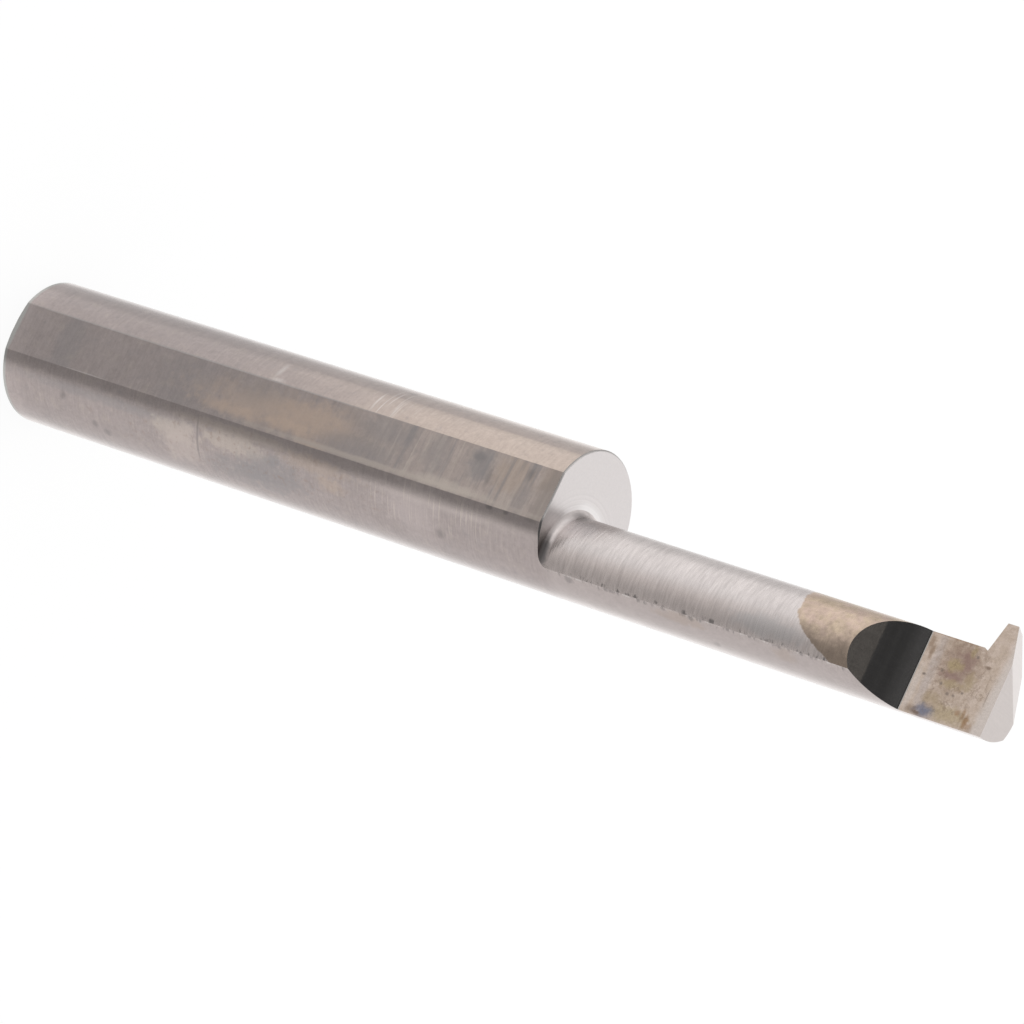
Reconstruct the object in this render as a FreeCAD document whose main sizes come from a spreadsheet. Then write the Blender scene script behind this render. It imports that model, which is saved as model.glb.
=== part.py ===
import FreeCAD, Part

import math
import os
import sys

import Sketcher

# Internal threading tool: a solid carbide bar with an eccentric ground neck and one tooth.
# The bar stands on its rear end, so its axis is +Z. The rake face and the clamping flat
# look along -Y and the tooth points along -X. Lengths are in millimetres.

NODE = "threading_bar"

SIZES = [
    ("overall_length", 63.5, "rear face to front face"),
    ("shank_diameter", 7.9375, "round stock of five sixteenths of an inch"),
    ("shank_length", 37.35, "rear face to shoulder"),
    ("rear_chamfer", 0.24, "chamfer round the rear face"),
    ("flat_depth", 0.26, "clamping flat below the round of the shank"),
    ("neck_diameter", 4.975, "round neck"),
    ("neck_offset", 2.17, "neck axis from bar axis, away from the tooth"),
    ("root_radius", 0.4, "corner between shoulder and neck"),
    ("shoulder_break", 0.08, "edge break round the shoulder"),
    ("break_gap", 50.0, "unbroken arc each side of the heel, in degrees"),
    ("rake_length", 4.8, "front face back to the foot of the gullet"),
    ("gullet_angle", 45.0, "slope of the gullet wall to the bar axis"),
    ("gullet_radius", 0.1, "corner at the foot of the gullet"),
    ("tooth_reach", 1.83, "bar axis to the crest of the tooth"),
    ("crest_width", 0.63, "flat crest, measured along the bar"),
    ("crest_setback", 0.51, "front face back to the crest"),
    ("flank_angle", 15.0, "each flank to a line square to the bar axis"),
    ("front_relief", 13.7, "clearance below the leading flank"),
    ("back_relief", 6.0, "clearance below the trailing flank"),
    ("notch_depth", 0.095, "wheel run-out behind the tooth, below the neck"),
    ("notch_angle", 25.0, "slope of the run-out to the bar axis"),
    ("land_depth", 1.0, "depth of the first clearance land of the crest"),
    ("land_angle", 8.0, "clearance of the first land"),
    ("heel_angle", 48.0, "clearance of the second land"),
    ("cut_margin", 1.0, "how far a cut runs past the stock"),
]

# Places that several features share, worked out from the sizes above.
STOCK_RADIUS = "Size.shank_diameter / 2"
NECK_RADIUS = "Size.neck_diameter / 2"
PAST_SIDE = "(Size.shank_diameter + Size.cut_margin)"
PAST_FRONT = "(Size.overall_length + Size.shank_diameter + Size.cut_margin)"
RAKE_START = "(Size.overall_length - Size.rake_length)"
CREST_FRONT = "(Size.overall_length - Size.crest_setback)"
CREST_BACK = f"({CREST_FRONT} - Size.crest_width)"
NOTCH_REACH = f"({NECK_RADIUS} - Size.neck_offset - Size.notch_depth)"
NOTCH_START = f"({CREST_BACK} - (Size.tooth_reach - {NOTCH_REACH}) * tan(Size.flank_angle))"

FULL_TURN = 360

# How a sketch constraint names the ends of an edge, and the axis that starts at the origin.
START, END = 1, 2
X_AXIS = -1


def make_sheet(doc):
    """Write each driving size to a cell of its own, with its name as alias."""
    sheet = doc.addObject("Spreadsheet::Sheet", "Size")
    for row, (alias, value, note) in enumerate(SIZES, start=1):
        sheet.set(f"A{row}", alias)
        sheet.set(f"B{row}", str(value))
        sheet.set(f"C{row}", note)
        sheet.setAlias(f"B{row}", alias)
    doc.recompute()


def number(sketch, expression):
    """Work out an expression of the driving sizes."""
    result = sketch.evalExpression(expression)
    return float(getattr(result, "Value", result))


def drive(sketch, kind, *arguments):
    """Add a dimension whose last argument is the expression that drives it."""
    *where, expression = arguments
    constraint = Sketcher.Constraint(kind, *where, number(sketch, expression))
    index = sketch.addConstraint(constraint)
    sketch.setExpression(f"Constraints[{index}]", expression)


def new_sketch(body, name, role):
    """Start a sketch on the origin plane of the body that has this role."""
    plane = next(item for item in body.Origin.OriginFeatures if item.Role == role)
    sketch = body.newObject("Sketcher::SketchObject", name)
    sketch.AttachmentSupport = [(plane, "")]
    sketch.MapMode = "FlatFace"
    sketch.Visibility = False
    return sketch


def turn_of(spoke):
    """Give the angle of a flat vector from the X axis, anticlockwise, in radians."""
    return math.atan2(spoke.y, spoke.x)


def arc_through(start, end, centre):
    """Make the shorter arc from start to end, and say if it runs clockwise."""
    clockwise = (start - centre).cross(end - centre).z < 0
    first, last = (end, start) if clockwise else (start, end)
    circle = Part.Circle(centre, FreeCAD.Vector(0, 0, 1), (start - centre).Length)
    return Part.ArcOfCircle(circle, turn_of(first - centre), turn_of(last - centre)), clockwise


def draw_outline(sketch, corners, arcs=None):
    """Draw a closed outline whose corners are pairs of expressions.

    Edge n runs from corner n to the next. It is straight unless arcs gives its centre,
    as a pair of expressions, and its radius.
    """
    arcs = arcs or {}
    points = [FreeCAD.Vector(number(sketch, u), number(sketch, v), 0) for u, v in corners]
    ends = []
    for edge, start in enumerate(points):
        end = points[(edge + 1) % len(points)]
        if edge in arcs:
            (u, v), _ = arcs[edge]
            centre = FreeCAD.Vector(number(sketch, u), number(sketch, v), 0)
            shape, clockwise = arc_through(start, end, centre)
        else:
            shape, clockwise = Part.LineSegment(start, end), False
        sketch.addGeometry(shape, False)
        ends.append((END, START) if clockwise else (START, END))
    for edge, (u, v) in enumerate(corners):
        following = (edge + 1) % len(corners)
        joint = Sketcher.Constraint("Coincident", edge, ends[edge][1], following, ends[following][0])
        sketch.addConstraint(joint)
        drive(sketch, "DistanceX", X_AXIS, START, edge, ends[edge][0], u)
        drive(sketch, "DistanceY", X_AXIS, START, edge, ends[edge][0], v)
    for edge, (_, radius) in arcs.items():
        drive(sketch, "Radius", edge, radius)


def add_feature(body, kind, name, sketch):
    """Add a feature made from a sketch."""
    feature = body.newObject(kind, name)
    feature.Profile = sketch
    return feature


def turn_stock(body):
    """Turn the round stock to length, with its rear edge broken."""
    sketch = new_sketch(body, "StockProfile", "XZ_Plane")
    draw_outline(sketch, [
        ("0", "0"),
        (f"{STOCK_RADIUS} - Size.rear_chamfer", "0"),
        (STOCK_RADIUS, "Size.rear_chamfer"),
        (STOCK_RADIUS, "Size.overall_length"),
        ("0", "Size.overall_length"),
    ])
    stock = add_feature(body, "PartDesign::Revolution", "Stock", sketch)
    stock.ReferenceAxis = (sketch, ["V_Axis"])
    stock.Angle = FULL_TURN


def grind_flat(body):
    """Grind the clamping flat along the stock."""
    sketch = new_sketch(body, "FlatProfile", "XY_Plane")
    face = f"-({STOCK_RADIUS} - Size.flat_depth)"
    draw_outline(sketch, [
        (f"-{PAST_SIDE}", face),
        (f"-{PAST_SIDE}", f"-{PAST_SIDE}"),
        (PAST_SIDE, f"-{PAST_SIDE}"),
        (PAST_SIDE, face),
    ])
    flat = add_feature(body, "PartDesign::Pocket", "ClampingFlat", sketch)
    flat.Type = "ThroughAll"
    flat.Reversed = True


def grind_neck(body):
    """Grind the neck about its own axis, up to the tooth, with a rounded root."""
    sketch = new_sketch(body, "NeckProfile", "XZ_Plane")
    side = f"(Size.neck_offset + {NECK_RADIUS})"
    far_side = f"(Size.neck_offset + {PAST_SIDE})"
    root_across = f"{side} + Size.root_radius"
    root_along = "Size.shank_length + Size.root_radius"
    corners = [
        (root_across, "Size.shank_length"),
        (far_side, "Size.shank_length"),
        (far_side, NOTCH_START),
        (side, NOTCH_START),
        (side, root_along),
    ]
    draw_outline(sketch, corners, {4: ((root_across, root_along), "Size.root_radius")})
    axis = sketch.addGeometry(
        Part.LineSegment(
            FreeCAD.Vector(number(sketch, "Size.neck_offset"), 0, 0),
            FreeCAD.Vector(number(sketch, "Size.neck_offset"), number(sketch, "Size.shank_length"), 0),
        ),
        True,
    )
    sketch.addConstraint(Sketcher.Constraint("Vertical", axis))
    sketch.addConstraint(Sketcher.Constraint("PointOnObject", axis, START, X_AXIS))
    drive(sketch, "DistanceX", X_AXIS, START, axis, START, "Size.neck_offset")
    drive(sketch, "DistanceY", axis, START, axis, END, "Size.shank_length")
    neck = add_feature(body, "PartDesign::Groove", "Neck", sketch)
    neck.ReferenceAxis = (sketch, ["Axis0"])
    neck.Angle = FULL_TURN


def break_shoulder(body):
    """Break the sharp rim of the shoulder, round the shank and along the flat.

    Each cut follows a slope of 45 degrees and runs one break past both faces. The round
    one stops short of the heel, where the shank runs on unbroken into the neck.
    """
    cut_top = "Size.shank_length + Size.shoulder_break"
    cut_foot = "Size.shank_length - 2 * Size.shoulder_break"
    rim = new_sketch(body, "RimProfile", "XZ_Plane")
    draw_outline(rim, [
        (f"-({STOCK_RADIUS} - 2 * Size.shoulder_break)", cut_top),
        (f"-({STOCK_RADIUS} + Size.shoulder_break)", cut_foot),
        (f"-({STOCK_RADIUS} + Size.shoulder_break)", cut_top),
    ])
    round_break = add_feature(body, "PartDesign::Groove", "RimBreak", rim)
    round_break.ReferenceAxis = (rim, ["V_Axis"])
    round_break.Midplane = True
    round_break.setExpression("Angle", f"{FULL_TURN} - 2 * Size.break_gap")
    edge = new_sketch(body, "FlatEdgeProfile", "YZ_Plane")
    draw_outline(edge, [
        (f"-({STOCK_RADIUS} - Size.flat_depth - 2 * Size.shoulder_break)", cut_top),
        (f"-({STOCK_RADIUS} - Size.flat_depth + Size.shoulder_break)", cut_foot),
        (f"-({STOCK_RADIUS} - Size.flat_depth + Size.shoulder_break)", cut_top),
    ])
    flat_break = add_feature(body, "PartDesign::Pocket", "FlatEdgeBreak", edge)
    flat_break.Type = "ThroughAll"
    flat_break.Midplane = True


def grind_rake(body):
    """Cut the head down to the rake face on the bar axis, with the sloping gullet."""
    sketch = new_sketch(body, "RakeProfile", "YZ_Plane")
    # The corner's radius touches the rake face and the gullet wall this far from their foot.
    touch = "(Size.gullet_radius * tan(Size.gullet_angle / 2))"
    wall_top = f"{RAKE_START} - {PAST_SIDE} / tan(Size.gullet_angle)"
    corners = [
        ("0", f"{RAKE_START} + {touch}"),
        ("0", PAST_FRONT),
        (f"-{PAST_SIDE}", PAST_FRONT),
        (f"-{PAST_SIDE}", wall_top),
        (f"-{touch} * sin(Size.gullet_angle)", f"{RAKE_START} - {touch} * cos(Size.gullet_angle)"),
    ]
    centre = ("-Size.gullet_radius", f"{RAKE_START} + {touch}")
    draw_outline(sketch, corners, {4: (centre, "Size.gullet_radius")})
    rake = add_feature(body, "PartDesign::Pocket", "RakeAndGullet", sketch)
    rake.Type = "ThroughAll"
    rake.Midplane = True


def grind_lands(body):
    """Clear the tooth below its crest, down to the round of the neck."""
    sketch = new_sketch(body, "LandProfile", "XY_Plane")
    sketch.setExpression("AttachmentOffset.Base.z", NOTCH_START)
    land_side = "(-Size.tooth_reach + Size.land_depth * tan(Size.land_angle))"
    heel_side = f"{land_side} + ({NECK_RADIUS} - Size.land_depth) * tan(Size.heel_angle)"
    corners = [
        ("-Size.tooth_reach", "-Size.cut_margin"),
        ("-Size.tooth_reach", "0"),
        (land_side, "Size.land_depth"),
        (heel_side, NECK_RADIUS),
        ("Size.neck_offset", NECK_RADIUS),
        (f"Size.neck_offset + {NECK_RADIUS}", "0"),
        (PAST_SIDE, "0"),
        (PAST_SIDE, PAST_SIDE),
        (f"-{PAST_SIDE}", PAST_SIDE),
        (f"-{PAST_SIDE}", "-Size.cut_margin"),
    ]
    draw_outline(sketch, corners, {4: (("Size.neck_offset", "0"), NECK_RADIUS)})
    lands = add_feature(body, "PartDesign::Pocket", "ClearanceLands", sketch)
    lands.Type = "ThroughAll"
    lands.Reversed = True


def grind_flank(body, name, corners, lean):
    """Grind one flank from the rake face down, leaning along the bar as it goes."""
    sketch = new_sketch(body, f"{name}Profile", "XZ_Plane")
    draw_outline(sketch, corners)
    flank = add_feature(body, "PartDesign::Pocket", name, sketch)
    flank.Type = "Length"
    flank.setExpression("Length", PAST_SIDE)
    flank.UseCustomVector = True
    flank.Direction = FreeCAD.Vector(0, 1, number(sketch, lean))
    flank.setExpression("Direction.z", lean)


def grind_tooth(body):
    """Grind the leading flank, then the trailing flank with its run-out notch."""
    rise_back = f"(({PAST_SIDE} - Size.tooth_reach) * tan(Size.flank_angle))"
    rise_front = f"(({PAST_SIDE} + Size.tooth_reach) * tan(Size.flank_angle))"
    leading = [
        (f"-{PAST_SIDE}", f"{CREST_FRONT} - {rise_back}"),
        (PAST_SIDE, f"{CREST_FRONT} + {rise_front}"),
        (PAST_SIDE, PAST_FRONT),
        (f"-{PAST_SIDE}", PAST_FRONT),
    ]
    grind_flank(body, "LeadingFlank", leading, "-tan(Size.front_relief)")
    run_out = f"({NOTCH_START} - ({PAST_SIDE} - {NOTCH_REACH}) / tan(Size.notch_angle))"
    trailing = [
        (f"-{NOTCH_REACH}", NOTCH_START),
        (f"-{PAST_SIDE}", f"{CREST_BACK} + {rise_back}"),
        (f"-{PAST_SIDE}", run_out),
    ]
    grind_flank(body, "TrailingFlank", trailing, "tan(Size.back_relief)")


def make_bar(doc):
    """Make the whole tool, which is ground from one piece of stock."""
    body = doc.addObject("PartDesign::Body", "ThreadingBar")
    body.Label = NODE
    doc.recompute()
    steps = (turn_stock, grind_flat, grind_neck, break_shoulder, grind_rake, grind_lands, grind_tooth)
    for step in steps:
        step(body)
        doc.recompute()
    return body


def check(doc, body):
    """Stop if any object failed or the finished solid is not sound."""
    for item in doc.Objects:
        if "Invalid" in item.State or "Error" in item.State:
            sys.exit(f"{item.Name} failed: {item.State}")
    shape = body.Shape
    if shape.isNull() or not shape.isValid() or len(shape.Solids) != 1:
        sys.exit(f"{body.Label} is not one sound solid")


def main():
    doc = FreeCAD.newDocument("InternalThreadingTool")
    make_sheet(doc)
    body = make_bar(doc)
    check(doc, body)
    os.makedirs("parts", exist_ok=True)
    body.Shape.exportStep(os.path.join("parts", f"{NODE}.step"))
    print(f"{NODE}: {body.Shape.Volume:.2f} cubic millimetres, {len(body.Shape.Faces)} faces")


main()
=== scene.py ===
"""Studio scene of a solid carbide bar that cuts internal threads.

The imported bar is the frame. Its mesh is refined onto the true rounds, each ground surface gets a
finish of its own, and the bar stands on a pale floor in a bright studio whose camera side is
darker. Lengths are in metres, and in millimetres where a name ends in mm or a pattern reads its
place.
"""

import logging
import math
from dataclasses import dataclass, field
from enum import Enum
from typing import Optional, Union

import bpy
from mathutils import Matrix, Vector


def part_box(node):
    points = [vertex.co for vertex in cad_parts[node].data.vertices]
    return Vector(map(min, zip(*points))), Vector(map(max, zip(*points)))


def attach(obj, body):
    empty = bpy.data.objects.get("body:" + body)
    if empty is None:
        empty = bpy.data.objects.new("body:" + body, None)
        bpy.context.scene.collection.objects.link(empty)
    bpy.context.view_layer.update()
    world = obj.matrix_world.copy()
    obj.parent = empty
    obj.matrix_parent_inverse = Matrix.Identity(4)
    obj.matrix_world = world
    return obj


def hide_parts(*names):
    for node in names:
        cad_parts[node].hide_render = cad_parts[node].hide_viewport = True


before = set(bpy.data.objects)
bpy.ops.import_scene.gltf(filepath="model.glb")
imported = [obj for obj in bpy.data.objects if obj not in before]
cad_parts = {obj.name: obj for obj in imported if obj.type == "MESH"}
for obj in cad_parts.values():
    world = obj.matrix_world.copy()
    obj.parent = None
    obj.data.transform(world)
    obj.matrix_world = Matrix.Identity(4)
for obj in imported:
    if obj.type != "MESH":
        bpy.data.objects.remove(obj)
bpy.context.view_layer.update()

log = logging.getLogger("threading_bar")

MM = 0.001
NODE = "threading_bar"
MARK = "surface"
SHOULDER_MM = 37.35
NECK_AXIS_MM = 2.17
NOISE_SPREAD = 2.6
NOISE_ROUGHNESS = 0.6

Colour = tuple[float, float, float]
Place = tuple[float, float, float]
Value = Union[float, "Term"]


class Term:
    """A value socket that adds Math nodes when it stands in an expression."""

    def __init__(self, graph: "Graph", socket: bpy.types.NodeSocket) -> None:
        """Keep the socket and the graph that new nodes go to."""
        self.graph = graph
        self.socket = socket

    def _math(self, operation: str, first: Value, second: Value = 0.0) -> "Term":
        """Add one Math node."""
        return self.graph.math(operation, first, second)

    def __add__(self, other: Value) -> "Term":
        """Give self + other."""
        return self._math("ADD", self, other)

    def __radd__(self, other: Value) -> "Term":
        """Give other + self."""
        return self._math("ADD", other, self)

    def __sub__(self, other: Value) -> "Term":
        """Give self - other."""
        return self._math("SUBTRACT", self, other)

    def __rsub__(self, other: Value) -> "Term":
        """Give other - self."""
        return self._math("SUBTRACT", other, self)

    def __mul__(self, other: Value) -> "Term":
        """Give self * other."""
        return self._math("MULTIPLY", self, other)

    def __rmul__(self, other: Value) -> "Term":
        """Give other * self."""
        return self._math("MULTIPLY", other, self)

    def __truediv__(self, other: Value) -> "Term":
        """Give self / other."""
        return self._math("DIVIDE", self, other)

    def __rtruediv__(self, other: Value) -> "Term":
        """Give other / self."""
        return self._math("DIVIDE", other, self)

    def __neg__(self) -> "Term":
        """Give the value with its sign turned."""
        return self._math("MULTIPLY", self, -1.0)

    def __abs__(self) -> "Term":
        """Give the value without its sign."""
        return self._math("ABSOLUTE", self)


class Graph:
    """Builds the nodes of one shader or geometry tree."""

    def __init__(self, tree: bpy.types.NodeTree) -> None:
        """Keep the tree."""
        self.tree = tree

    def node(
        self, kind: str, settings: Optional[dict] = None, inputs: Optional[dict] = None
    ) -> bpy.types.Node:
        """Add a node.

        Args:
            kind: The node's type.
            settings: Its properties, which are set first.
            inputs: Values or links by socket name, identifier or place.

        Returns:
            The new node.
        """
        made = self.tree.nodes.new(kind)
        for name, value in (settings or {}).items():
            setattr(made, name, value)
        for key, value in (inputs or {}).items():
            self.feed(self.find(made.inputs, key), value)
        return made

    @staticmethod
    def find(sockets: bpy.types.NodeInputs, key: Union[str, int]) -> bpy.types.NodeSocket:
        """Give the socket with this identifier, name or place."""
        if isinstance(key, int):
            return sockets[key]
        return next((s for s in sockets if s.identifier == key), None) or sockets[key]

    def feed(self, socket: bpy.types.NodeSocket, value: object) -> None:
        """Link or set one input socket."""
        if isinstance(value, Term):
            self.tree.links.new(value.socket, socket)
        elif isinstance(value, bpy.types.NodeSocket):
            self.tree.links.new(value, socket)
        elif socket.type == "RGBA" and len(value) == 3:
            socket.default_value = (*value, 1.0)
        else:
            socket.default_value = value

    def term(self, node: bpy.types.Node, key: Union[str, int] = 0) -> Term:
        """Wrap an output socket of a node."""
        return Term(self, self.find(node.outputs, key))

    def math(self, operation: str, first: Value, second: Value = 0.0) -> Term:
        """Add a Math node and give its result."""
        made = self.node("ShaderNodeMath", {"operation": operation}, {0: first, 1: second})
        return self.term(made)

    def parts(self, vector: object) -> tuple[Term, Term, Term]:
        """Split a vector into its three values."""
        made = self.node("ShaderNodeSeparateXYZ", None, {"Vector": vector})
        return self.term(made, "X"), self.term(made, "Y"), self.term(made, "Z")

    def vector(self, x: Value, y: Value, z: Value) -> Term:
        """Join three values into a vector."""
        return self.term(self.node("ShaderNodeCombineXYZ", None, {"X": x, "Y": y, "Z": z}))

    def ramp(self, value: Value, low: float, high: float) -> Term:
        """Rise softly from 0 at low to 1 at high, or fall if high is the smaller."""
        turned = low > high
        settings = {"interpolation_type": "SMOOTHSTEP"}
        limits = {
            "Value": value,
            "From Min": min(low, high),
            "From Max": max(low, high),
            "To Min": 1.0 if turned else 0.0,
            "To Max": 0.0 if turned else 1.0,
        }
        return self.term(self.node("ShaderNodeMapRange", settings, limits), "Result")


@dataclass(frozen=True)
class Stain:
    """A blot, smudge or scratch: its place, half its size, its colour and how strong it is.

    Along the bar it is measured in millimetres. Across, it is in degrees on a round surface
    (from the rake side towards the tooth) and in millimetres on a flat one.
    """

    across: float
    along: float
    half_across: float
    half_along: float
    colour: Colour
    share: float
    feather: float = 0.5
    ragged: float = 0.5


class FinishGraph(Graph):
    """Builds the nodes of one metal finish, with places in millimetres."""

    def __init__(self, name: str, axis_mm: Optional[float] = None, wander_mm: float = 0.5) -> None:
        """Start a material.

        Args:
            name: Name of the material.
            axis_mm: Where the axis of a round surface lies along X, or None on a flat surface.
            wander_mm: Length of the waves in the outlines of its stains.
        """
        self.material = bpy.data.materials.new(name)
        self.material.use_nodes = True
        super().__init__(self.material.node_tree)
        self.tree.nodes.clear()
        place = self.node("ShaderNodeTexCoord")
        scaled = self.node(
            "ShaderNodeMapping",
            {"vector_type": "POINT"},
            {"Vector": place.outputs["Object"], "Scale": (1 / MM,) * 3},
        )
        self.place = self.term(scaled)
        self.x, self.y, self.z = self.parts(self.place)
        self.across = self.x
        if axis_mm is not None:
            self.across = self.math("ARCTAN2", axis_mm - self.x, -self.y) * math.degrees(1.0)
        self.sheet = self.vector(self.across, self.z, 0.0)
        self.wander = self.noise(wander_mm, 5.0, 31.0)

    def blend(self, share: Value, first: object, second: object) -> Term:
        """Mix two colours, with the second at share 1."""
        made = self.node(
            "ShaderNodeMix",
            {"data_type": "RGBA", "clamp_factor": True},
            {"Factor_Float": share, "A_Color": first, "B_Color": second},
        )
        return self.term(made, "Result_Color")

    def scaled(self, colour: object, amount: Value) -> Term:
        """Make a colour lighter or darker."""
        inputs = {0: colour, "Scale": amount}
        made = self.node("ShaderNodeVectorMath", {"operation": "SCALE"}, inputs)
        return self.term(made, "Vector")

    def noise(
        self,
        size: Union[float, Place],
        detail: float = 3.0,
        offset: float = 0.0,
        vector: Optional[Term] = None,
    ) -> Term:
        """Give a noise from about -1 to 1.

        Args:
            size: Length of its patches in millimetres, one for all or one for each axis.
            detail: How many finer layers it has.
            offset: Where in the pattern it starts, so that two noises differ.
            vector: The place it reads, or None for the part's own.

        Returns:
            The noise as a value.
        """
        lengths = size if isinstance(size, tuple) else (size,) * 3
        stretched = self.node(
            "ShaderNodeMapping",
            {"vector_type": "POINT"},
            {
                "Vector": vector or self.place,
                "Location": (offset, offset, offset),
                "Scale": tuple(1 / length for length in lengths),
            },
        )
        made = self.node(
            "ShaderNodeTexNoise",
            {"noise_dimensions": "3D"},
            {
                "Vector": stretched.outputs[0],
                "Scale": 1.0,
                "Detail": detail,
                "Roughness": NOISE_ROUGHNESS,
            },
        )
        return (self.term(made, "Fac") - 0.5) * NOISE_SPREAD

    def cover(self, stain: Stain) -> Term:
        """Tell how far a stain covers a place: 1 inside its ragged outline and 0 outside."""
        placed = self.node(
            "ShaderNodeMapping",
            {"vector_type": "TEXTURE"},
            {
                "Vector": self.sheet,
                "Location": (stain.across, stain.along, 0.0),
                "Scale": (stain.half_across, stain.half_along, 1.0),
            },
        )
        length = self.node("ShaderNodeVectorMath", {"operation": "LENGTH"}, {0: placed.outputs[0]})
        reach = self.term(length, "Value") + self.wander * stain.ragged
        return self.ramp(reach, 1.0 + stain.feather, 1.0 - stain.feather)

    def stained(self, colour: object, stains: tuple[Stain, ...]) -> Term:
        """Lay stains over a colour, one after the other."""
        for stain in stains:
            colour = self.blend(self.cover(stain) * stain.share, colour, stain.colour)
        return colour

    def finish(
        self,
        colour: object,
        roughness: Value,
        relief: Optional[Value] = None,
        depth_mm: float = 0.01,
        edge: float = 1.0,
    ) -> bpy.types.Material:
        """Close the material with a metal shader.

        Args:
            colour: Base colour.
            roughness: Roughness.
            relief: Height pattern for the bump, or None for a smooth surface.
            depth_mm: Height of the relief, in millimetres.
            edge: How much it mirrors at a grazing angle.

        Returns:
            The material.
        """
        shader = self.node(
            "ShaderNodeBsdfPrincipled",
            None,
            {
                "Base Color": colour,
                "Roughness": roughness,
                "Metallic": 1.0,
                "Specular Tint": (edge, edge, edge),
            },
        )
        if relief is not None:
            inputs = {"Height": relief, "Strength": 1.0, "Distance": depth_mm * MM}
            bump = self.node("ShaderNodeBump", None, inputs)
            self.feed(shader.inputs["Normal"], bump.outputs["Normal"])
        output = self.node("ShaderNodeOutputMaterial")
        self.tree.links.new(shader.outputs[0], output.inputs["Surface"])
        return self.material


class Surface(Enum):
    """The ground surfaces of the bar, in the order they are made."""

    STOCK = 0
    FLAT = 1
    REAR = 2
    NECK = 3
    SHOULDER = 4
    RIM = 5
    GULLET = 6
    RAKE = 7
    FRONT = 8
    CLEARANCE = 9


BEIGE = (0.485, 0.425, 0.375)
RUST = (0.29, 0.205, 0.165)
STRAW = (0.66, 0.585, 0.515)
TAN = (0.50, 0.395, 0.315)
AMBER = (0.62, 0.48, 0.385)
BROWN = (0.40, 0.315, 0.255)
SLATE = (0.295, 0.28, 0.285)
# Near black: real soot marks, and also painted shade on the shoulder's lower side and in the neck's
# root.
SOOT_AND_SHADE = (0.15, 0.14, 0.14)
SILVER = (0.75, 0.72, 0.70)


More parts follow.
